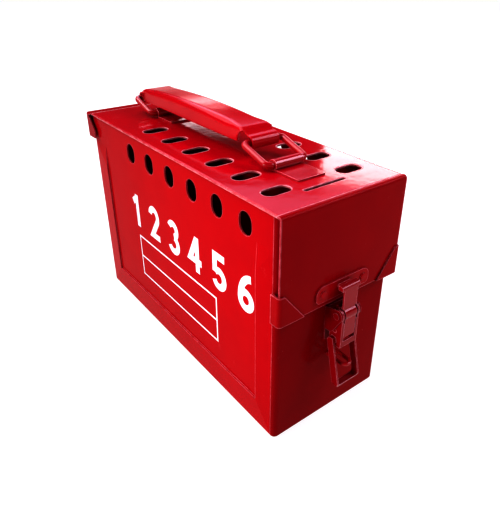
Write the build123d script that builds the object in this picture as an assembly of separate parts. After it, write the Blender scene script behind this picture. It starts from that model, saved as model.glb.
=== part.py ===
"""Group lockout box, modelled in millimetres.

The origin is at the middle of the bottom. +X is the latch end, -X the hinge end,
-Y the front long side, +Z up. The lid is shut and the carrying handle lies back
towards the hinge end.
"""
import math
import os

from build123d import *

# Body of the box
box_length = 229.0
box_width = 89.0
lid_top = 152.0
sheet = 1.2
corner_radius = 3.5
bottom_radius = 1.8
end_wall_drop = 1.5
seam = 0.1

# Pressed frame round the panel of each long side
press_depth = 1.2
press_web = 1.5
frame_left = 21.0
frame_right = 17.0
frame_bottom = 21.5
frame_fade_top = 130.0
frame_ridge_top = 113.0

# Padlock holes in the long sides
hole_count = 6
hole_pitch = 27.2
hole_middle = 19.4
hole_width = 11.5
hole_height = 14.0
hole_depth = 15.4

# Lid and its slots
lid_overhang = 1.5
lid_flange_gap = 0.7
lid_flange_drop = 5.8
lid_flange_start = 13.5
slot_count = 6
slot_pitch = 26.6
slot_middle = 24.6
slot_width = 9.5
slot_length = 18.0
slot_offset = 27.0
key_slit_length = 30.6
key_slit_width = 2.6
key_slit_setback = 14.5

# Skirt at the latch end and its corner gussets
skirt_gap = 2.8
skirt_height = 63.5
bend_radius = 2.2
gusset_height = 18.5
gusset_wrap = 2.0
gusset_gap = 0.05
gusset_foot = 18.5
gusset_knee = 9.0
gusset_knee_height = 12.2
gusset_shoulder = 4.2

# Cap at the hinge end
cap_gap = 3.3
cap_ear_gap = 1.5
cap_strip_length = 8.0
cap_ear_length = 13.4
cap_ear_neck = 3.8
cap_ear_corner = 6.0
cap_hinge_gap = 0.15

# Hinge
hinge_drop = 21.0
hinge_pin_radius = 1.2
hinge_sheet = 1.1
hinge_knuckle = 14.4
hinge_knuckle_gap = 0.3
hinge_leaf_drop = 19.0
hinge_leaf_top_gap = 2.8
hinge_stand_off = 0.15
running_gap = 0.05

# Latch: bracket, lever, link and keeper
latch_sheet = 1.1
latch_base_width = 15.8
latch_base_length = 23.6
latch_base_gap = 4.9
pivot_stand_off = 9.4
pivot_drop = 6.7
pivot_rivet_radius = 1.25
pivot_eye_radius = 3.9
side_gap = 0.2
lever_face_offset = 3.3
lever_web_drop = 4.6
lever_straight = 21.5
lever_length = 48.6
lever_flare = 3.2
loop_width = 18.4
loop_corner = 3.2
loop_strip_depth = 4.3
loop_set_back = 4.0
loop_top_drop = 16.0
loop_shoulder = 3.2
lever_notch_width = 9.3
lever_notch_depth = 17.6
link_pin_back = 1.9
link_pin_drop = 11.8
link_pin_radius = 1.4
link_stem_width = 8.8
link_stem_drop = 4.6
link_set_back = 1.3
link_plate_width = 10.6
link_head_width = 13.8
link_head_height = 14.9
link_foot_height = 4.3
link_cheek_height = 2.6
hook_clearance = 1.0
keeper_length = 41.0
keeper_height = 10.5
keeper_rise = 3.5
tab_length = 1.8
tab_width = 9.2
tab_thickness = 1.4
tab_play = 0.3
rivet_shank = 1.2
rivet_head = 2.2
rivet_dome = 0.9
keeper_rivet_spacing = 31.0
staple_wire = 1.2
staple_half_width = 2.9
staple_drop = 35.3
staple_reach = 11.5

# Carrying handle
handle_wire = 2.1
handle_base = 139.4
handle_middle = -2.1
bracket_sheet = 1.1
bracket_length = 22.0
bracket_width = 20.6
bracket_play = 0.1
link_length = 24.2
link_width = 29.0
link_corner = 3.2
link_rest_angle = 17.0
grip_sheet = 1.1
grip_width = 24.0
grip_skirt = 1.3
grip_crown = 10.3
grip_end_crown = 7.2
grip_shoulder = 7.0
grip_strap_width = 21.4
grip_play = 1.0
grip_setback = 6.0

# Faces and centres that several pieces share
x_end = box_length / 2
y_side = box_width / 2
lid_under = lid_top - sheet
side_top = lid_under - seam
lid_edge = y_side + lid_overhang
flange_out = y_side - sheet - lid_flange_gap
skirt_in = x_end + skirt_gap
skirt_out = skirt_in + sheet
skirt_low = lid_top - skirt_height
cap_in = -x_end - cap_gap
cap_out = cap_in - sheet
cap_side_in = y_side + cap_ear_gap
cap_side_out = cap_side_in + sheet
cap_front = cap_out + cap_strip_length
knuckle_radius = hinge_pin_radius + running_gap + hinge_sheet
hinge_x = -x_end - hinge_stand_off - knuckle_radius
hinge_height = lid_top - hinge_drop
hinge_leaf_top = lid_under - hinge_leaf_top_gap
pivot_x = x_end + pivot_stand_off
pivot_z = skirt_low - pivot_drop
pin_x = pivot_x - link_pin_back
pin_z = pivot_z - link_pin_drop
ear_inside = latch_base_width / 2 - latch_sheet
lever_half = ear_inside - side_gap
face_x = pivot_x + lever_face_offset
keeper_face = skirt_out + latch_sheet
hook_tip = keeper_face + tab_length + hook_clearance
wire_z = lid_top + bracket_sheet + bracket_play + handle_wire
bracket_radius = handle_wire + bracket_play + bracket_sheet
right_wire_x = handle_middle + handle_base / 2
left_wire_x = handle_middle - handle_base / 2
lean = math.radians(link_rest_angle)
grip_shift_x = -link_length * math.cos(lean)
grip_wire_z = wire_z + link_length * math.sin(lean)
grip_bore = handle_wire + grip_play
grip_curl = grip_bore + grip_sheet
latch_base_high = skirt_low - latch_base_gap
latch_base_low = latch_base_high - latch_base_length
base_rivet_z = (latch_base_low + 2.05 * rivet_head, latch_base_high - 2.05 * rivet_head)
keeper_low = skirt_low + keeper_rise
keeper_rivet_y = (-keeper_rivet_spacing / 2, keeper_rivet_spacing / 2)
keeper_rivet_z = keeper_low + keeper_height / 2
staple_height = pivot_z - staple_drop


def block(x0, x1, y0, y1, z0, z1):
    """Rectangular block between the given faces."""
    middle = Pos((x0 + x1) / 2, (y0 + y1) / 2, (z0 + z1) / 2)
    return middle * Box(abs(x1 - x0), abs(y1 - y0), abs(z1 - z0))


def rod(x, z, y0, y1, radius):
    """Round bar along Y."""
    return Pos(x, (y0 + y1) / 2, z) * Rot(90, 0, 0) * Cylinder(radius, abs(y1 - y0))


def stud(y, z, x0, x1, radius):
    """Round bar along X."""
    return Pos((x0 + x1) / 2, y, z) * Rot(0, 90, 0) * Cylinder(radius, abs(x1 - x0))


def profile(points, y0, y1):
    """Outline in the XZ plane, extruded from y0 to y1."""
    outline = make_face(Polyline(*[(x, y0, z) for x, z in points], close=True))
    return extrude(outline, amount=y1 - y0, dir=(0, 1, 0))


def mirrored(solid):
    """The same piece on the other long side."""
    return mirror(solid, about=Plane.XZ)


def frustum(y_base, y_top, base, top):
    """Low pyramid frustum between two upright rectangles (x0, x1, z0, z1)."""
    rings = []
    for y, (x0, x1, z0, z1) in ((y_base, base), (y_top, top)):
        rings.append(Wire.make_polygon([(x0, y, z0), (x1, y, z0), (x1, y, z1), (x0, y, z1)]))
    return Solid.make_loft(rings, ruled=True)


# Folded tub, later parted at the bends into sides, ends and bottom
def tub():
    outer = block(-x_end, x_end, -y_side, y_side, 0, side_top)
    outer = fillet(outer.edges().filter_by(Axis.Z), corner_radius)
    outer = fillet(outer.faces().sort_by(Axis.Z)[0].edges(), bottom_radius)
    inner = block(-x_end + sheet, x_end - sheet, -y_side + sheet, y_side - sheet, sheet, lid_top + 5)
    inner = fillet(inner.edges().filter_by(Axis.Z), corner_radius - sheet)
    inner = fillet(inner.faces().sort_by(Axis.Z)[0].edges(), bottom_radius - sheet)
    return outer - inner


# One long side with its pressed frame, raised ridge and padlock holes
def long_side(shell):
    flat_x = x_end - corner_radius
    flat_y = y_side - corner_radius
    side = shell & block(-flat_x, flat_x, -y_side - 5, -flat_y, -1, lid_top)
    panel_left = -x_end + frame_left
    panel_right = x_end - frame_right
    base = (-flat_x, flat_x, bottom_radius, frame_fade_top)
    top = (panel_left, panel_right, frame_bottom, frame_ridge_top)
    raised = frustum(-y_side, -y_side - press_depth, base, top)
    raised -= block(panel_left, panel_right, -y_side - press_depth - 1, -y_side, frame_bottom, lid_top)
    hollow = frustum(-y_side + sheet, -y_side + sheet - press_depth, base, top)
    hollow -= block(panel_left - press_web, panel_right + press_web, -y_side - press_depth,
                    -y_side + sheet + 1, frame_bottom - press_web, lid_top)
    side = side + raised - hollow
    first = hole_middle - hole_pitch * (hole_count - 1) / 2
    for i in range(hole_count):
        slot = Rot(90, 0, 0) * extrude(SlotOverall(hole_height, hole_width, rotation=90), amount=12, both=True)
        side -= Pos(first + i * hole_pitch, -y_side, lid_top - hole_depth) * slot
    return side


# Long sides, end walls and bottom plate
def body_panels():
    shell = tub()
    flat_x = x_end - corner_radius
    flat_y = y_side - corner_radius
    front = long_side(shell)
    end_top = side_top - end_wall_drop
    latch_end = shell & block(flat_x, x_end + 1, -y_side - 1, y_side + 1, -1, lid_top)
    latch_end -= block(x_end - corner_radius - 1, x_end + 1, -flat_y, flat_y, end_top, lid_top)
    for z in base_rivet_z:
        latch_end -= stud(0, z, x_end - sheet - 1, x_end + 1, rivet_shank)
    hinge_end = shell & block(-x_end - 1, -flat_x, -y_side - 1, y_side + 1, -1, lid_top)
    hinge_end -= block(-x_end - 1, -x_end + corner_radius + 1, -flat_y, flat_y, end_top, lid_top)
    bottom = shell & block(-flat_x, flat_x, -flat_y, flat_y, -1, bottom_radius)
    return front, mirrored(front), latch_end, hinge_end, bottom


# Lid plate with two rows of cross slots, the key slit and its inner side flanges
def lid_plate():
    left = cap_front
    right = x_end + 0.7
    plate = block(left, right, -lid_edge, lid_edge, lid_under, lid_top)
    flange_left = -x_end + lid_flange_start
    flange_right = x_end - corner_radius - 0.5
    for side in (-1, 1):
        plate += block(flange_left, flange_right, side * (flange_out - sheet), side * flange_out,
                       lid_under - lid_flange_drop, lid_under + sheet / 2)
    long_edges = plate.edges().filter_by(Axis.X).group_by(Axis.Z)[-1]
    plate = fillet(long_edges, sheet * 0.9)
    first = slot_middle - slot_pitch * (slot_count - 1) / 2
    cut = extrude(SlotOverall(slot_length, slot_width, rotation=90), amount=sheet * 3, both=True)
    for i in range(slot_count):
        for side in (-1, 1):
            plate -= Pos(first + i * slot_pitch, side * slot_offset, lid_under) * cut
    slit = extrude(SlotOverall(key_slit_length, key_slit_width, rotation=90), amount=sheet * 3, both=True)
    return plate - Pos(x_end - key_slit_setback, 0, lid_under) * slit


# Skirt folded down over the latch end
def lid_skirt():
    half = lid_edge
    skirt = block(x_end + 0.7, skirt_out, -half, half, skirt_low, lid_top)
    skirt = fillet(skirt.edges().filter_by(Axis.Y).sort_by(Axis.Z)[-2:].sort_by(Axis.X)[-1], bend_radius)
    for y in keeper_rivet_y:
        skirt -= stud(y, keeper_rivet_z, skirt_in - 1, skirt_out + 1, rivet_shank)
    hollow = block(x_end, skirt_in, -half - 1, half + 1, skirt_low - 1, lid_under)
    hollow = fillet(hollow.edges().filter_by(Axis.Y).sort_by(Axis.Z)[-2:].sort_by(Axis.X)[-1],
                    bend_radius - sheet)
    return skirt - hollow


# Corner gusset wrapped round the lower corner of the skirt, front one
def gusset():
    side_in = -lid_edge - gusset_gap
    side_out = side_in - sheet
    front_x = skirt_out + sheet
    top = skirt_low + gusset_height
    wrap = block(x_end - gusset_wrap, front_x, side_out, side_out + gusset_foot, skirt_low, top)
    wrap = fillet(wrap.edges().filter_by(Axis.Z).sort_by(SortBy.DISTANCE)[-1:], bend_radius)
    wrap -= block(0, skirt_out, side_in, side_out + gusset_foot + 1, skirt_low - 1, top + 1)
    diagonal = Polyline((skirt_out - 5, side_out + gusset_shoulder, top),
                        (skirt_out - 5, side_out + gusset_knee, skirt_low + gusset_knee_height),
                        (skirt_out - 5, side_out + gusset_foot, skirt_low),
                        (skirt_out - 5, side_out + gusset_foot + 5, skirt_low),
                        (skirt_out - 5, side_out + gusset_foot + 5, top), close=True)
    return wrap - extrude(make_face(diagonal), amount=15, dir=(1, 0, 0))


# Cap over the hinge end: top strip, end flange and two ears beside the long sides
def lid_cap():
    low = hinge_height + knuckle_radius + cap_hinge_gap
    ear_tip = cap_out + cap_ear_length
    cap = block(cap_out, ear_tip, -cap_side_out, cap_side_out, low, lid_top)
    cap = fillet(cap.edges().filter_by(Axis.Z).group_by(Axis.X)[0], bend_radius)
    rim = cap.faces().sort_by(Axis.Z)[-1].edges()
    cap = fillet(rim.group_by(Axis.X)[0] + rim.filter_by(Axis.X), sheet)
    hollow = block(cap_in, ear_tip + 1, -cap_side_in, cap_side_in, low - 1, lid_under)
    hollow = fillet(hollow.edges().filter_by(Axis.Z).group_by(Axis.X)[0], bend_radius - sheet)
    cap -= hollow
    cap -= block(cap_front, ear_tip + 1, -cap_side_out - 1, cap_side_out + 1, lid_under - 1, lid_top + 1)
    slope = [(cap_out + cap_ear_neck, lid_under), (ear_tip, low + cap_ear_corner), (ear_tip - 1, low - 1),
             (ear_tip + 5, low - 1), (ear_tip + 5, lid_under)]
    return cap - profile(slope, -cap_side_out - 1, cap_side_out + 1)


# Knuckle spans along the hinge, box first, then lid, box, lid, box
def knuckle_spans(owner):
    pitch = hinge_knuckle + hinge_knuckle_gap
    start = -2.5 * pitch + hinge_knuckle_gap / 2
    return [(start + i * pitch, start + i * pitch + hinge_knuckle) for i in range(5) if i % 2 == owner]


# Hinge leaf on the end wall, rolled round the pin
def hinge_leaf_box():
    leaf = block(-x_end - hinge_sheet, -x_end, -2.5 * hinge_knuckle, 2.5 * hinge_knuckle,
                 hinge_height - hinge_leaf_drop, hinge_height - knuckle_radius - 0.3)
    for y0, y1 in knuckle_spans(0):
        leaf += block(-x_end - hinge_sheet, -x_end, y0, y1, hinge_height - hinge_leaf_drop, hinge_height)
        leaf += rod(hinge_x, hinge_height, y0, y1, knuckle_radius)
        leaf -= rod(hinge_x, hinge_height, y0 - 0.1, y1 + 0.1, hinge_pin_radius)
    return leaf


# Hinge leaf inside the cap of the lid
def hinge_leaf_lid():
    x0 = cap_in
    x1 = cap_in + hinge_sheet
    leaf = block(x0, x1, -2.5 * hinge_knuckle, 2.5 * hinge_knuckle,
                 hinge_height + knuckle_radius + 0.3, hinge_leaf_top)
    for y0, y1 in knuckle_spans(1):
        leaf += block(x0, x1, y0, y1, hinge_height, hinge_leaf_top)
        leaf += rod(hinge_x, hinge_height, y0, y1, knuckle_radius)
        leaf -= rod(hinge_x, hinge_height, y0 - 0.1, y1 + 0.1, hinge_pin_radius + running_gap)
    return leaf


# Pin with its domed ends
def hinge_pin():
    half = knuckle_spans(0)[-1][1]
    pin = rod(hinge_x, hinge_height, -half - 0.8, half + 0.8, hinge_pin_radius)
    return fillet(pin.edges(), hinge_pin_radius * 0.5)


# Rivet along X: dome outside, shank through the sheets, small tail inside
def rivet_x(y, z, outside, inside):
    shank = stud(y, z, inside, outside, rivet_shank)
    dome = fillet(stud(y, z, outside, outside + rivet_dome, rivet_head).edges().sort_by(Axis.X)[-1],
                  rivet_dome * 0.7)
    tail = stud(y, z, inside - rivet_dome, inside, rivet_head * 0.9)
    return shank + dome + tail


# Rivets of the latch bracket, one above the other
def latch_base_rivets():
    return [rivet_x(0, z, x_end + latch_sheet, x_end - sheet) for z in base_rivet_z]


# Bracket of the latch: base on the end wall and two ears with the lever between them
def latch_base():
    half = latch_base_width / 2
    plate = block(x_end, x_end + latch_sheet, -half, half, latch_base_low, latch_base_high)
    ear = [(x_end, latch_base_low + 8.4), (x_end + 5.2, latch_base_low + 8.4),
           (x_end + 7.2, latch_base_low + 10.4),
           (pivot_x + pivot_eye_radius * 0.98, pivot_z - pivot_eye_radius * 0.2),
           (pivot_x, pivot_z + pivot_eye_radius), (x_end, latch_base_high)]
    for side in (-1, 1):
        y0 = side * ear_inside
        y1 = side * half
        low, up = min(y0, y1), max(y0, y1)
        plate += profile(ear, low, up) + rod(pivot_x, pivot_z, low, up, pivot_eye_radius)
        plate -= rod(pivot_x, pivot_z, low - 0.1, up + 0.1, pivot_rivet_radius)
    for z in base_rivet_z:
        plate -= stud(0, z, x_end - 1, x_end + latch_sheet + 1, rivet_shank)
    return plate


# Two short shoulder rivets on which the lever turns, the middle left free for the link
def lever_pivots():
    half = latch_base_width / 2
    cheek_inside = lever_half - latch_sheet
    pins = []
    for side in (-1, 1):
        inner = cheek_inside - 0.6
        pin = rod(pivot_x, pivot_z, side * inner, side * half, pivot_rivet_radius)
        pin += rod(pivot_x, pivot_z, side * half, side * (half + 0.7), pivot_rivet_radius * 1.75)
        pin += rod(pivot_x, pivot_z, side * inner, side * (cheek_inside - 0.1), pivot_rivet_radius * 1.4)
        pins.append(pin)
    return pins


# Lever: folded channel with an open notch for the link, and a wider finger loop of bent strip
def latch_lever():
    web_top = pivot_z - lever_web_drop
    web_low = pivot_z - lever_straight
    inside = lever_half - latch_sheet
    outline = [(face_x, pivot_z), (face_x, web_low), (face_x - 1.0, web_low - 0.6), (pin_x - 3.9, web_low + 0.6),
               (pin_x - 4.4, pin_z + 8.0), (pivot_x - pivot_eye_radius * 0.9, pivot_z)]
    lever = profile(outline, -lever_half, lever_half)
    lever += rod(pivot_x, pivot_z, -lever_half, lever_half, pivot_eye_radius)
    lever -= block(x_end, face_x - latch_sheet, -inside, inside, web_low - 5, pivot_z + 9)
    lever -= block(x_end, face_x + 5, -inside, inside, web_top, pivot_z + 9)
    lever -= block(x_end, face_x + 5, -lever_notch_width / 2, lever_notch_width / 2,
                   pivot_z - lever_notch_depth, pivot_z + 9)
    lever += finger_loop()
    bore = pivot_rivet_radius + running_gap
    lever -= rod(pivot_x, pivot_z, -lever_half - 1, lever_half + 1, bore)
    return lever - rod(pin_x, pin_z, -lever_half - 1, lever_half + 1, link_pin_radius)


# Loop of flat strip: two legs that start near the wall and flare out, joined by a round-cornered foot
def finger_loop():
    low = pivot_z - lever_length
    top = pivot_z - loop_top_drop
    toe = face_x + lever_flare
    start = face_x - loop_set_back
    half = loop_width / 2
    side = [(start, top), (toe, low + 2.2), (toe - 0.8, low), (toe - loop_strip_depth, low - 0.9),
            (start - loop_strip_depth, top - 2.4), (start - loop_strip_depth + 1.2, top)]
    strip = profile(side, -half, half)
    window = block(x_end, toe + 5, -half + latch_sheet, half - latch_sheet, low + latch_sheet, top + 5)
    window = fillet(window.edges().filter_by(Axis.X).sort_by(Axis.Z)[:2], loop_corner - latch_sheet)
    frame = block(x_end, toe + 5, -half, half, low - 1, top + 5)
    frame = fillet(frame.edges().filter_by(Axis.X).sort_by(Axis.Z)[:2], loop_corner)
    shoulders = strip & block(x_end, toe + 5, -half, half, top - loop_shoulder, top)
    shoulders -= block(x_end, toe + 5, -lever_half + 0.3, lever_half - 0.3, low, top + 5)
    return (strip & (frame - window)) + shoulders


# Pin of the link, flush with the lever's cheeks
def link_pin():
    return rod(pin_x, pin_z, -lever_half, lever_half, link_pin_radius)


# Link: curl round the pin, stem that fills the notch, bead between the lever's eyes, wide hooked head
def latch_link():
    curl = link_pin_radius + running_gap + latch_sheet
    foot_z = pivot_z + link_foot_height
    head_z = foot_z + link_head_height
    head_x = face_x - link_set_back
    stem_x = face_x - 0.1
    stem_half = link_stem_width / 2
    head_half = link_head_width / 2
    plate_half = link_plate_width / 2
    stem_low = pin_z - link_stem_drop
    stem = [(head_x, foot_z + 1), (head_x, pivot_z), (stem_x, pivot_z), (stem_x, stem_low + 1.5),
            (stem_x - 0.45, stem_low + 0.45), (stem_x - 1.5, stem_low), (pin_x, pin_z - curl),
            (pin_x + 0.5, pin_z - curl + latch_sheet), (stem_x - latch_sheet, stem_low + latch_sheet),
            (stem_x - latch_sheet, pivot_z - 1), (head_x - latch_sheet, pivot_z), (head_x - latch_sheet, foot_z + 1)]
    link = profile(stem, -stem_half, stem_half)
    link += rod(pin_x, pin_z, -lever_half + 1.4, lever_half - 1.4, curl)
    link += rod(pivot_x, pivot_z, -stem_half, stem_half, pivot_eye_radius)
    link -= rod(pivot_x, pivot_z, -stem_half - 1, stem_half + 1, pivot_eye_radius - latch_sheet)
    head = block(hook_tip, head_x, -head_half, head_half, foot_z, head_z)
    head = fillet(head.edges().filter_by(Axis.Y).sort_by(SortBy.DISTANCE)[-1:], latch_sheet * 1.4)
    inside = head_half - latch_sheet
    head -= block(hook_tip - 1, head_x - latch_sheet, -inside, inside, foot_z - 1, head_z - latch_sheet)
    head -= block(hook_tip - 1, head_x - latch_sheet, -head_half - 1, head_half + 1, foot_z - 1, head_z - link_cheek_height)
    for side in (-1, 1):
        y0, y1 = sorted((side * plate_half, side * (head_half + 1)))
        head -= block(hook_tip - 1, head_x + 1, y0, y1, foot_z - 1, head_z - link_cheek_height)
    link += head
    return link - rod(pin_x, pin_z, -lever_half, lever_half, link_pin_radius + running_gap)


# Keeper on the skirt, with the short tab under the link's hook
def latch_keeper():
    half = keeper_length / 2
    high = keeper_low + keeper_height
    plate = block(skirt_out, keeper_face, -half, half, keeper_low, high)
    plate = fillet(plate.edges().filter_by(Axis.X).group_by(Axis.Z)[-1], keeper_height * 0.48)
    plate = fillet(plate.edges().filter_by(Axis.X).group_by(Axis.Z)[0], keeper_height * 0.25)
    tab_top = pivot_z + link_foot_height + link_head_height - latch_sheet - tab_play
    plate += block(skirt_out, keeper_face + tab_length, -tab_width / 2, tab_width / 2,
                   tab_top - tab_thickness, tab_top)
    for y in keeper_rivet_y:
        plate -= stud(y, keeper_rivet_z, skirt_out - 1, keeper_face + 1, rivet_shank)
    return plate


# Two rivets of the keeper
def keeper_rivets():
    return [rivet_x(y, keeper_rivet_z, keeper_face, skirt_in) for y in keeper_rivet_y]


# Wire eye for a seal, welded to the end wall and standing through the finger loop
def seal_staple():
    bend_x = x_end + staple_reach
    path = Line((x_end, -staple_half_width, staple_height), (bend_x, -staple_half_width, staple_height))
    path += ThreePointArc((bend_x, -staple_half_width, staple_height),
                          (bend_x + staple_half_width, 0, staple_height),
                          (bend_x, staple_half_width, staple_height))
    path += Line((bend_x, staple_half_width, staple_height), (x_end, staple_half_width, staple_height))
    section = Plane(origin=(x_end, -staple_half_width, staple_height), z_dir=(1, 0, 0)) * Circle(staple_wire)
    return sweep(section, path=path)


# Handle bracket: strap with its end rolled round the wire of the link
def handle_bracket(x):
    half = bracket_width / 2
    plate = block(x, x + bracket_length, -half, half, lid_top, lid_top + bracket_sheet)
    plate = fillet(plate.edges().filter_by(Axis.Z).group_by(Axis.X)[-1], 1.2)
    strap = plate + rod(x, wire_z, -half, half, bracket_radius)
    strap -= rod(x, wire_z, -half - 1, half + 1, handle_wire + bracket_play)
    lip = lid_top + bracket_sheet
    return strap - block(x + handle_wire * 0.8, x + bracket_radius + 0.5, -half - 1, half + 1, lip, lip + 0.5)


# Closed wire loop that turns in a bracket and in the end of the grip
def wire_link(x):
    loop = RectangleRounded(link_length, link_width, link_corner)
    path = loop.wire()
    start = path.position_at(0)
    along = path.tangent_at(0)
    ring = sweep(Plane(origin=start, z_dir=along) * Circle(handle_wire), path=path)
    placed = Rot(0, link_rest_angle, 0) * Pos(-link_length / 2, 0, 0) * ring
    return Pos(x, 0, wire_z) * placed


# Grip: arched folded channel whose two end straps are rolled round the wire links
def handle_grip():
    left = left_wire_x + grip_shift_x
    right = right_wire_x + grip_shift_x
    middle = (left + right) / 2
    low = grip_wire_z - grip_skirt

    def channel(half, lift, radius, reach, floor, foot_radius):
        x0 = left + grip_setback - reach
        x1 = right - grip_setback + reach
        end_z = grip_wire_z + grip_end_crown + lift
        crown = ThreePointArc((x0, -half, end_z), (middle, -half, grip_wire_z + grip_crown + lift),
                              (x1, -half, end_z))
        rest = Polyline((x1, -half, end_z), (x1, -half, floor), (x0, -half, floor), (x0, -half, end_z))
        solid = extrude(make_face(crown + rest), amount=2 * half, dir=(0, 1, 0))
        if foot_radius:
            solid = fillet(solid.edges().filter_by(Axis.Y).group_by(Axis.Z)[0], foot_radius)
        ridges = solid.edges().filter_by(GeomType.CIRCLE).sort_by(SortBy.LENGTH)[-2:]
        return fillet(ridges, radius)

    grip = channel(grip_width / 2, 0, grip_shoulder, 0, low, grip_skirt + 2.2)
    inner_shoulder = grip_shoulder - grip_sheet
    grip -= channel(grip_width / 2 - grip_sheet, -grip_sheet, inner_shoulder, 5, low - 10, 0)
    half = grip_strap_width / 2
    for x, way in ((left, -1), (right, 1)):
        root_x = x - way * (grip_setback + 2.0)
        root_z = grip_wire_z + grip_end_crown
        band = [(root_x, root_z), (x - way * 3.6, grip_wire_z + grip_curl + 1.1), (x, grip_wire_z + grip_curl),
                (x, grip_wire_z + grip_bore), (x - way * 4.2, grip_wire_z + grip_bore + 1.3),
                (root_x, root_z - grip_sheet)]
        strap = profile(band, -half, half) + rod(x, grip_wire_z, -half, half, grip_curl)
        grip += strap
    for x, way in ((left, -1), (right, 1)):
        grip -= rod(x, grip_wire_z, -half - 1, half + 1, grip_bore)
        grip -= block(x - way * grip_curl * 1.3, x - way * grip_bore * 0.7, -half - 1, half + 1,
                      grip_wire_z - 0.2, grip_wire_z + 0.9)
    return grip


side_front, side_back, end_latch, end_hinge, bottom_plate = body_panels()
front_gusset = gusset()
nodes = {
    "side_front": side_front,
    "side_back": side_back,
    "end_latch": end_latch,
    "end_hinge": end_hinge,
    "bottom_plate": bottom_plate,
    "hinge_leaf_box": hinge_leaf_box(),
    "hinge_pin": hinge_pin(),
    "latch_base": latch_base(),
    "latch_base_rivets": latch_base_rivets(),
    "lever_pivots": lever_pivots(),
    "seal_staple": seal_staple(),
    "lid_plate": lid_plate(),
    "lid_skirt": lid_skirt(),
    "lid_cap": lid_cap(),
    "gusset_front": front_gusset,
    "gusset_back": mirrored(front_gusset),
    "hinge_leaf_lid": hinge_leaf_lid(),
    "latch_keeper": latch_keeper(),
    "keeper_rivets": keeper_rivets(),
    "bracket_right": handle_bracket(right_wire_x),
    "bracket_left": handle_bracket(left_wire_x),
    "latch_lever": latch_lever(),
    "link_pin": link_pin(),
    "latch_link": latch_link(),
    "handle_link_right": wire_link(right_wire_x),
    "handle_link_left": wire_link(left_wire_x),
    "handle_grip": handle_grip(),
}

os.makedirs("parts", exist_ok=True)
for name, piece in nodes.items():
    solids = piece if isinstance(piece, list) else [piece]
    found = [s for item in solids for s in item.solids()]
    export_step(Compound(children=found), os.path.join("parts", name + ".step"))
    print(name, len(found), round(sum(s.volume for s in found), 1))
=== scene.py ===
import math

import bmesh
import bpy
import numpy as np
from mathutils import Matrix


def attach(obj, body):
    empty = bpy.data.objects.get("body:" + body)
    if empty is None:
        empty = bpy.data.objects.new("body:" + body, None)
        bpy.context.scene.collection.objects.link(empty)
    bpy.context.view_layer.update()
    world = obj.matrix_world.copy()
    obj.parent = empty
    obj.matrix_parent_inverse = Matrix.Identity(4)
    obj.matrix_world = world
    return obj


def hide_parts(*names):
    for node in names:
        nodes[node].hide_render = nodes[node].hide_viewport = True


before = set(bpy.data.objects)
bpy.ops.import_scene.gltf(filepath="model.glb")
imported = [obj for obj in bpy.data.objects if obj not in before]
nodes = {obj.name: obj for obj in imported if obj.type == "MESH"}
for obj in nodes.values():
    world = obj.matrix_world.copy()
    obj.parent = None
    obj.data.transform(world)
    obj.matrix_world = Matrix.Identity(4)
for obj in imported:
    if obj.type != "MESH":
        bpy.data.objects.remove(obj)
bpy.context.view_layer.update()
collection = bpy.context.scene.collection


# The studio is a white glowing floor, which keeps the shadow under the box faint. It is paper over a
# light table, so most of its light comes through from below and the rest is what falls on it.
class Wire:
    """A socket of a material's node tree. Python arithmetic on it adds Math nodes."""

    def __init__(self, tree, socket=None):
        self.tree, self.socket = tree, socket

    def node(self, kind, settings=None, inputs=None, out=0):
        """Adds a node of this kind, with its settings and then its sockets' values or links."""
        made = self.tree.nodes.new(kind)
        for key, value in (settings or {}).items():
            setattr(made, key, value)
        for key, value in (inputs or {}).items():
            if isinstance(value, Wire):
                self.tree.links.new(value.socket, made.inputs[key])
            else:
                made.inputs[key].default_value = value
        return Wire(self.tree, made.outputs[out])

    def maths(self, operation, *values):
        return self.node("ShaderNodeMath", {"operation": operation}, dict(enumerate(values)))

    def noise(self, scale, detail=1.0, rough=0.5):
        """Smooth noise between 0 and 1 on the object's own coordinates, scale waves to the metre."""
        return self.node("ShaderNodeTexNoise", inputs={"Vector": self.place(), "Scale": scale,
                                                       "Detail": detail, "Roughness": rough})

    def place(self):
        return self.node("ShaderNodeTexCoord", out="Object")

    def mix(self, first, second):
        """first where this wire is 0 and second where it is 1. Both are colours or wires of colours."""
        first, second = (c if isinstance(c, Wire) else (*c, 1) for c in (first, second))
        return self.node("ShaderNodeMix", {"data_type": "RGBA"}, {0: self, 6: first, 7: second}, 2)

    def step(self, low, high):
        """0 below low and 1 above high, with a smooth rise between."""
        return self.node("ShaderNodeMapRange", {"interpolation_type": "SMOOTHSTEP"},
                         {"Value": self, "From Min": low, "From Max": high})

    def __add__(self, other):
        return self.maths("ADD", self, other)

    def __sub__(self, other):
        return self.maths("SUBTRACT", self, other)

    def __rsub__(self, other):
        return self.maths("SUBTRACT", other, self)

    def __mul__(self, other):
        return self.maths("MULTIPLY", self, other)

    __radd__ = __add__
    __rmul__ = __mul__


def blank_material(name):
    """A new material with its shader, and a wire on its tree to build from."""
    made = bpy.data.materials.new(name)
    made.use_nodes = True
    return made, made.node_tree.nodes["Principled BSDF"], Wire(made.node_tree)


def feed(shader, **sockets):
    """Links or sets the shader's sockets. An underscore in a name stands for a space."""
    for key, value in sockets.items():
        target = shader.inputs[key.replace("_", " ")]
        if isinstance(value, Wire):
            value.tree.links.new(value.socket, target)
        else:
            target.default_value = value


def put(name, data):
    """An object of this name that holds the mesh, lamp or camera, at the origin."""
    thing = bpy.data.objects.new(name, data)
    collection.objects.link(thing)
    return thing


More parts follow.
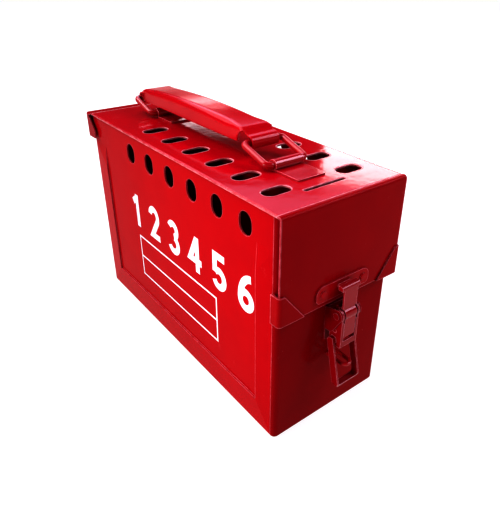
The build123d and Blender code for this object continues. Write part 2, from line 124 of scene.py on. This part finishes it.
floor_half, floor_z = 9.0, -0.0002
floor_mesh = bpy.data.meshes.new("studio_floor")
floor_mesh.from_pydata([(x * floor_half, y * floor_half, floor_z)
                        for x, y in ((-1, -1), (1, -1), (1, 1), (-1, 1))], [], [(0, 1, 2, 3)])
put("studio_floor", floor_mesh)
floor_paper, shader, wire = blank_material("studio_paper")
feed(shader, Base_Color=wire.noise(3.0, 3.0).mix((0.19, 0.19, 0.19), (0.22, 0.22, 0.22)), Roughness=0.9,
     Specular_IOR_Level=0.0, Emission_Color=(1, 1, 1, 1), Emission_Strength=0.88)
floor_mesh.materials.append(floor_paper)


# The camera stands where the photograph was taken from, a little above the lid and off the near corner.
# Its lens and shift frame the box as the photograph does.
camera_data = bpy.data.cameras.new("photo_camera")
camera_data.lens = 35.62
camera_data.shift_x = -0.0296
camera_data.shift_y = -0.0535
camera_data.clip_start = 0.01
camera_data.clip_end = 40
camera = put("photo_camera", camera_data)
camera.location = (0.2842958, -0.1873304, 0.2592831)
camera.rotation_euler = [math.radians(a) for a in (61.94288, -0.58424, 51.81878)]
bpy.context.scene.camera = camera


# The light is soft: a wide lamp from high on the left, a spot on the front's right half, and air that
# is white at the horizon and dim above. Flat lamps are seen in the gloss, where a window and a dim sky
# behind the box make the streak on the lid, and the others the light lines along the bends.
view = bpy.context.scene.view_settings
view.view_transform = "Standard"
view.gamma = 0.6
world = bpy.data.worlds.new("studio_air")
bpy.context.scene.world = world
world.use_nodes = True
air = Wire(world.node_tree)
height = air.node("ShaderNodeSeparateXYZ", inputs={0: air.node("ShaderNodeTexCoord")}, out=2)
white_air, dim_air, dim_from = (1.05, 1.05, 1.05), (0.08, 0.08, 0.08), 0.24
glow = height.step(0.0, dim_from).mix(white_air, dim_air)
air.tree.links.new(glow.socket, air.tree.nodes["Background"].inputs["Color"])


def aim(thing, place, target):
    """Puts a lamp at place and turns it so that it shines at target."""
    thing.location = place
    way = np.array(target, float) - np.array(place, float)
    tilt = math.acos(-way[2] / np.linalg.norm(way))
    thing.rotation_euler = (tilt, 0, math.atan2(way[1], way[0]) - math.pi / 2)


for name, place, target, size, power, tint in (
        ("window_lamp", (-1.06, 1.72, 0.84), (0.05, 0.0, 0.15), (0.80, 0.27), 5.4, (1.0, 0.98, 1.0)),
        ("sky_lamp", (-1.6, 1.33, 1.55), (0.0, 0.0, 0.15), (2.2, 0.9), 15, (0.6, 0.72, 1.0)),
        ("edge_lamp", (0.72, 0.97, 1.10), (0.12, 0.0, 0.13), (0.75, 0.75), 18, (0.85, 0.82, 1.0)),
        ("shelf_lamp", (-1.71, 1.05, 0.67), (0.0, 0.0, 0.17), (0.27, 0.12), 0.4, (1.0, 0.9, 0.93)),
        ("left_lamp", (-0.86, -0.06, 1.36), (0.0, 0.0, 0.15), (1.3, 1.3), 17, (0.85, 0.85, 1.0))):
    lamp = bpy.data.lights.new(name, "AREA")
    lamp.shape = "RECTANGLE"
    lamp.size, lamp.size_y = size
    lamp.energy = power
    lamp.color = tint
    aim(put(name, lamp), place, target)

main = bpy.data.lights.new("main_lamp", "SUN")
main.energy = 2.4
main.angle = math.radians(48)
aim(put("main_lamp", main), (-0.41, -0.56, 0.72), (0.0, 0.0, 0.0))

spot = bpy.data.lights.new("front_lamp", "SPOT")
spot.energy = 38
spot.spot_size = math.radians(20)
spot.spot_blend = 1.0
spot.shadow_soft_size = 0.12
aim(put("front_lamp", spot), (0.10, -1.15, 0.45), (0.085, -0.045, 0.115))


# The tub is one blank of 1.2 mm steel sheet, pressed with a frame in each long side and folded up, then
# seam welded at the corners. Its gloss red enamel is sprayed on thick, so it flows into a faint orange
# peel, holds a few dust nibs, and pulls thin over the edges. The colour goes pale and pink along every
# edge, partly for the thin enamel and partly as a painted highlight.
def red_enamel(name, bright, deep, gloss, mirror, bend, edge_pale_and_highlight, rim=(0.95, 0.34, 0.42)):
    """Gloss enamel over folded steel, of roughness gloss and specular level mirror. Its colour drifts
    between bright and deep, and goes part of the way towards rim where the face's true normal and the one
    that is rounded over the radius bend differ, which is at an edge: thin enamel there, and a painted
    highlight. Its height is the sum of a slow waviness of the sheet, an orange peel of two sizes and the
    dust nibs, in metres."""
    made, shader, wire = blank_material(name)
    drift = wire.noise(7.0, 3.0).step(0.3, 0.7)
    mottle = wire.noise(48.0, 2.0).step(0.35, 0.7)
    nib = wire.noise(820.0).step(0.79, 0.84) * wire.noise(30.0).step(0.56, 0.7)
    scuff = wire.noise(130.0, 4.0, 0.7).step(0.62, 0.72) * wire.noise(16.0, 2.0).step(0.52, 0.66)
    rounded = wire.node("ShaderNodeBevel", {"samples": 6}, {"Radius": bend})
    true_face = wire.node("ShaderNodeNewGeometry", out="Normal")
    same = wire.node("ShaderNodeVectorMath", {"operation": "DOT_PRODUCT"}, {0: rounded, 1: true_face},
                     "Value")
    # Mask of the edges, where the colour goes towards rim: partly the enamel pulling thin, partly a
    # painted highlight.
    thin_edge_and_highlight = (1 - same).step(0.008, 0.09) * (0.55 + 0.45 * wire.noise(210.0, 3.0).step(0.35, 0.6))
    colour = (drift * 0.6 + mottle * 0.25).mix(bright, deep)
    colour = (thin_edge_and_highlight * edge_pale_and_highlight).mix(colour, rim)
    dust = (0.85, 0.45, 0.45)
    colour = (nib * 0.3 + scuff * 0.04).mix(colour, dust)
    sheet_wave, coarse_peel, fine_peel, nib_height = 0.0005, 0.00011, 0.00002, 0.00003
    height = (wire.noise(15.0, 1.0) * sheet_wave + wire.noise(70.0, 2.0) * coarse_peel
              + wire.noise(330.0, 1.0) * fine_peel + nib * nib_height)
    bump = wire.node("ShaderNodeBump", inputs={"Strength": 1.0, "Distance": 1.0, "Height": height,
                                               "Normal": rounded})
    feed(shader, Base_Color=colour, Normal=bump, Specular_IOR_Level=mirror,
         Roughness=gloss + drift * 0.03 + mottle * 0.03 + scuff * 0.12 + nib * 0.2 + thin_edge_and_highlight * 0.08)
    return made


def paint(material, *names):
    """Gives the CAD nodes of these names the material."""
    for name in names:
        nodes[name].material_slots[0].material = material


tub_enamel = red_enamel("tub_enamel", bright=(0.50, 0.0006, 0.008), deep=(0.43, 0.0004, 0.009),
                        gloss=0.12, mirror=0.03, bend=0.001, edge_pale_and_highlight=0.45)
paint(tub_enamel, "side_front", "side_back", "bottom_plate")
# The ends take the tub's red set darker, as painted shade; the real ends are the same red as the sides.
end_shaded_enamel = red_enamel("end_shaded_enamel", bright=(0.36, 0.0005, 0.005), deep=(0.29, 0.0004, 0.006),
                        gloss=0.13, mirror=0.03, bend=0.0007, edge_pale_and_highlight=0.5)
paint(end_shaded_enamel, "end_latch", "end_hinge")


# The latch's bracket is folded from 1.1 mm sheet and riveted to the tub's end, with two shoulder rivets
# for the lever. The seal staple is a bent wire welded below it. All are sprayed once they are fixed.
# The bracket and its rivets take the tub's red set much darker, as painted shade around the latch.
latch_shaded_enamel = red_enamel("latch_shaded_enamel", bright=(0.30, 0.0005, 0.005), deep=(0.25, 0.0004, 0.007),
                          gloss=0.14, mirror=0.05, bend=0.0005, edge_pale_and_highlight=0.6)
paint(latch_shaded_enamel, "latch_base", "latch_base_rivets", "lever_pivots")
staple_enamel = red_enamel("staple_enamel", bright=(0.46, 0.0008, 0.01), deep=(0.38, 0.0006, 0.01),
                           gloss=0.08, mirror=0.6, bend=0.0003, edge_pale_and_highlight=0.8)
paint(staple_enamel, "seal_staple")


# The lever is a folded channel with a bail of bent strip for the finger, and the link is a strip curled
# round its pin, with a bead between the lever's eyes and a hook at the top.
# The lever and its pin take the tub's red set darker, as painted shade at the latch.
lever_shaded_enamel = red_enamel("lever_shaded_enamel", bright=(0.38, 0.0007, 0.008), deep=(0.30, 0.0006, 0.008),
                          gloss=0.12, mirror=0.3, bend=0.0006, edge_pale_and_highlight=0.85)
paint(lever_shaded_enamel, "latch_lever", "link_pin")
# The link takes the tub's red set darker, as painted shade at the latch.
link_shaded_enamel = red_enamel("link_shaded_enamel", bright=(0.42, 0.0007, 0.01), deep=(0.34, 0.0006, 0.01),
                         gloss=0.16, mirror=0.45, bend=0.0005, edge_pale_and_highlight=0.85)
paint(link_shaded_enamel, "latch_link")


# The lid is a flat sheet with punched shackle slots and a folded skirt at the latch end, a cap at the
# hinge end and two gussets that stiffen the skirt's corners. Its top has the smoothest coat of the box.
# The lid's red is set a little lighter and bluer than the tub's, as painted light and painted sheen on the
# top, and its edges go paler still, as a stronger painted highlight.
lid_lit_enamel = red_enamel("lid_lit_enamel", bright=(0.54, 0.0006, 0.015), deep=(0.46, 0.0004, 0.015),
                        gloss=0.06, mirror=0.2, bend=0.0016, edge_pale_and_highlight=1.0, rim=(1.0, 0.50, 0.56))
paint(lid_lit_enamel, "lid_plate")
# The skirt, cap and gussets take the tub's red set darker, as painted shade on the lid's ends.
skirt_shaded_enamel = red_enamel("skirt_shaded_enamel", bright=(0.41, 0.0006, 0.006), deep=(0.34, 0.0004, 0.007),
                          gloss=0.12, mirror=0.05, bend=0.0012, edge_pale_and_highlight=0.6)
paint(skirt_shaded_enamel, "lid_skirt", "lid_cap", "gusset_front", "gusset_back")


# The hinge is two leaves of 1.1 mm sheet, rolled into knuckles round a plain steel pin. One is welded
# to the tub's end and the other to the lid's cap, and the whole hinge is painted with the box.
# Its red is set darker than the tub's, as painted shade like the ends'.
hinge_shaded_enamel = red_enamel("hinge_shaded_enamel", bright=(0.42, 0.0006, 0.007), deep=(0.35, 0.0004, 0.008),
                          gloss=0.17, mirror=0.1, bend=0.0004, edge_pale_and_highlight=0.6)
paint(hinge_shaded_enamel, "hinge_leaf_box", "hinge_leaf_lid", "hinge_pin")


# The keeper is a stamped plate with a short turned-out tab, held to the skirt by two button rivets that
# were closed before painting.
keeper_enamel = red_enamel("keeper_enamel", bright=(0.47, 0.0006, 0.008), deep=(0.40, 0.0004, 0.009),
                           gloss=0.13, mirror=0.1, bend=0.0006, edge_pale_and_highlight=0.75)
paint(keeper_enamel, "latch_keeper", "keeper_rivets")


# Each end of the carrying handle hangs in a bracket of rolled sheet welded flat to the lid, on a closed
# loop of 4.2 mm steel wire. They are painted with the box, in the glossiest coat, since they are small
# and round, and the enamel is pale along the edges of the rolls, partly thin there and partly a painted
# highlight.
handle_enamel = red_enamel("handle_enamel", bright=(0.52, 0.001, 0.014), deep=(0.42, 0.0008, 0.014),
                           gloss=0.09, mirror=0.62, bend=0.0005, edge_pale_and_highlight=0.9)
paint(handle_enamel, "bracket_right", "bracket_left", "handle_link_right", "handle_link_left")


# The grip is pressed from one strip of 1.1 mm sheet into a shallow crowned channel, soft at its shoulders.
# Past each end of the channel the strip flattens, dips and is rolled round the wire loop, so it can swing
# on it. The roll is left a little open on its under side, where the strip's end comes home.
grip_sheet = 0.0011
pivot_right, pivot_left, pivot_z = 0.0444618, -0.0949382, 0.162375
roll_radius, roll_turn = 0.00365, math.radians(285)
top_lift, crown_rise, dip_length = 0.0066, 0.0031, 0.0085
channel_gap, channel_start = 0.0042, 0.0052
strip_half_width, channel_flare = 0.01015, 0.0008
shoulder_radius, shoulder_turn = 0.0042, math.radians(84)
shoulder_slim, slim_from, slim_length = 0.0026, 0.022, 0.016
wall_below_pivot = 0.0012


def ease(value):
    """0 below 0 and 1 above 1, and 3 v^2 - 2 v^3 between."""
    value = np.clip(value, 0, 1)
    return value * value * (3 - 2 * value)


def grip_surface(along, across):
    """Middle surface of the grip. The spine runs from under one wire, over its roll and along a low
    crown to the other, and dips to the roll over dip_length. Each cross line is flat at the middle, turns
    down through a shoulder of angle bend and ends in a straight wall. Bend and wall start channel_gap
    from the pivot and are full channel_start further on, and the shoulder is slimmer near the ends."""
    middle = (pivot_right + pivot_left) / 2
    half_span = (pivot_right - pivot_left) / 2
    run = along * (half_span + roll_radius * roll_turn)
    spine_x = np.minimum(np.abs(run), half_span)
    roll_angle = np.clip((np.abs(run) - half_span) / roll_radius, 0, None)
    lift = top_lift + crown_rise * (1 - (spine_x / half_span) ** 2)
    dip = ease((spine_x - half_span + dip_length) / dip_length)
    height = lift * (1 - dip) + roll_radius * dip
    x = spine_x + roll_radius * np.sin(roll_angle)
    z = np.where(roll_angle > 0, roll_radius * np.cos(roll_angle), height)
    channel = ease((half_span - channel_gap - spine_x) / channel_start)
    bend = channel * shoulder_turn
    radius = shoulder_radius - shoulder_slim * ease((spine_x - half_span + slim_from) / slim_length)
    wall = channel * np.clip(height + wall_below_pivot - radius * 0.9, 0, None)
    flat = strip_half_width + channel_flare * channel - radius * np.sin(bend)
    out = np.abs(across) * (flat + radius * bend + wall)
    turn = np.clip((out - flat) / radius, 0, bend)
    down_wall = np.clip(out - flat - radius * bend, 0, None)
    y = np.minimum(out, flat) + radius * np.sin(turn) + down_wall * np.cos(bend)
    drop = radius * (1 - np.cos(turn)) + down_wall * np.sin(bend)
    return np.stack((middle + np.sign(run) * (x - drop * np.sin(roll_angle)), np.sign(across) * y,
                     pivot_z + z - drop * np.cos(roll_angle)), axis=-1)


def grid_mesh(name, points, round_u=False, round_v=False):
    """A mesh of quads over a grid of points. round_u joins the last row to the first, and round_v the
    last column."""
    rows, columns = points.shape[:2]
    index = np.arange(rows * columns).reshape(rows, columns)
    if round_u:
        index = np.concatenate((index, index[:1]), axis=0)
    if round_v:
        index = np.concatenate((index, index[:, :1]), axis=1)
    corners = (index[:-1, :-1], index[1:, :-1], index[1:, 1:], index[:-1, 1:])
    faces = np.stack(corners, axis=-1).reshape(-1, 4)
    mesh = bpy.data.meshes.new(name)
    mesh.from_pydata(points.reshape(-1, 3).tolist(), [], faces.tolist())
    mesh.shade_smooth()
    return mesh


end_stations = np.linspace(0.70, 1.0, 60)
stations = np.concatenate((-end_stations[::-1], np.linspace(-0.695, 0.695, 60), end_stations))
grid = np.meshgrid(stations, np.linspace(-1, 1, 61), indexing="ij")
grip = put("grip_shell", grid_mesh("grip_shell", grip_surface(*grid)))
thick = grip.modifiers.new("sheet", "SOLIDIFY")
thick.thickness = grip_sheet
thick.offset = 0
rim = grip.modifiers.new("rim", "BEVEL")
rim.width = 0.0003
rim.segments = 2
rim.limit_method = "ANGLE"
rim.angle_limit = math.radians(50)
grip_enamel = red_enamel("grip_enamel", bright=(0.57, 0.001, 0.014), deep=(0.49, 0.0008, 0.014),
                         gloss=0.11, mirror=0.28, bend=0.0004, edge_pale_and_highlight=0.8)
grip.data.materials.append(grip_enamel)
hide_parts("handle_grip")
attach(grip, "grip")


# The numbers of the six front holes are screened on the front panel in white ink, and so is an empty
# write-on field of two rows. The ink lies a few hundredths of a millimetre thick and is a little worn.
panel_y = -0.0445
ink_thickness, ink_root, ink_step = 0.00004, 0.00001, 0.00001
figure_height, figure_stroke = 0.026, 0.19
first_figure_x, figure_pitch, figure_foot = -0.0486, 0.0272, 0.080
field_left, field_right, field_low, field_row, field_top = -0.048, 0.056, 0.0385, 0.055, 0.072
field_line = 0.0015


def stroke(points, width, closed=False):
    """A flat ribbon of ink along a line of points on the panel. Each point moves half the width to both
    sides, along the mean of its two runs' normals, lengthened so that corners keep the full width.
    Each cross line has the ribbon's four edges in turn, round from the panel over the ink's face."""
    line = np.asarray(points, float)
    before = line - np.roll(line, 1, axis=0)
    after = np.roll(line, -1, axis=0) - line
    if not closed:
        before[0], after[-1] = after[0], before[-1]
    before /= np.linalg.norm(before, axis=1, keepdims=True)
    after /= np.linalg.norm(after, axis=1, keepdims=True)
    normal_before = np.stack((-before[:, 1], before[:, 0]), axis=1)
    normal_after = np.stack((-after[:, 1], after[:, 0]), axis=1)
    join = normal_before + normal_after
    join *= width / np.sum(join * join, axis=1, keepdims=True)
    side = np.array((-1.0, -1.0, 1.0, 1.0))
    return line[:, None, :] + join[:, None, :] * side[None, :, None]


def arc(u, v, half_wide, half_high, first, last):
    """Points on an ellipse about (u, v) from one angle to the other, in degrees from the right."""
    turn = np.radians(np.linspace(first, last, 40))
    return np.stack((u + half_wide * np.cos(turn), v + half_high * np.sin(turn)), axis=1)


def ink(name, strokes, width, place, size):
    """One piece of ink: closed ribbons, each a step higher than the last so that none share a plane.
    strokes are (points, closed) in units of size, and place is the panel point of their origin."""
    shape = bmesh.new()
    for layer, (points, closed) in enumerate(strokes):
        flat = stroke(points, width, closed) * size + np.array(place)
        face = ink_thickness + ink_step * layer
        depth = np.broadcast_to(panel_y - np.array((-ink_root, face, face, -ink_root)), flat.shape[:2])
        ribbon = grid_mesh(name, np.stack((flat[..., 0], depth, flat[..., 1]), axis=-1), closed, True)
        shape.from_mesh(ribbon)
        bpy.data.meshes.remove(ribbon)
    bmesh.ops.holes_fill(shape, edges=shape.edges)
    bmesh.ops.recalc_face_normals(shape, faces=shape.faces)
    mesh = bpy.data.meshes.new(name)
    shape.to_mesh(mesh)
    shape.free()
    mesh.shade_flat()
    piece = put(name, mesh)
    mesh.materials.append(ink_finish)
    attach(piece, "box")


ink_finish, shader, wire = blank_material("white_ink")
worn = wire.noise(900.0, 3.0, 0.6).step(0.68, 0.74) * wire.noise(95.0, 2.0).step(0.58, 0.7)
thin = wire.noise(260.0, 3.0).step(0.35, 0.75)
feed(shader, Base_Color=thin.mix((0.76, 0.77, 0.84), (0.70, 0.69, 0.76)), Roughness=0.42 + thin * 0.12,
     Alpha=1 - worn * 0.85, Specular_IOR_Level=0.2,
     Normal=wire.node("ShaderNodeBump", inputs={"Strength": 1.0, "Distance": 1.0,
                                                "Height": wire.noise(1400.0) * 0.000008}))

figures = (
    [([(0.05, 0.0), (0.05, 1.0)], False), ([(-0.18, 0.735), (0.06, 0.905)], False)],
    [(np.concatenate((arc(0.0, 0.69, 0.205, 0.215, 172, -30), [(-0.155, 0.095), (0.27, 0.095)])), False)],
    [(arc(-0.01, 0.72, 0.19, 0.185, 158, -80), False), (arc(-0.01, 0.305, 0.215, 0.21, 80, -158), False)],
    [([(0.10, 0.0), (0.10, 1.0)], False), ([(0.09, 0.94), (-0.235, 0.33), (0.29, 0.33)], False)],
    [([(-0.25, 0.905), (0.24, 0.905)], False), ([(-0.155, 0.96), (-0.172, 0.44)], False),
     (arc(0.0, 0.315, 0.21, 0.22, 140, -158), False)],
    [(arc(0.0, 0.30, 0.205, 0.205, 0, 351), True), (arc(0.205, 0.30, 0.41, 0.605, 180, 92), False)])
for i, figure in enumerate(figures):
    foot = (first_figure_x + figure_pitch * i, figure_foot)
    ink(f"number_{i + 1}", figure, figure_stroke, foot, figure_height)
field = [(field_left, field_low), (field_right, field_low), (field_right, field_top),
         (field_left, field_top)]
ink("write_field", [(field, True), ([(field_left, field_row), (field_right, field_row)], False)],
    field_line, (0.0, 0.0), 1.0)
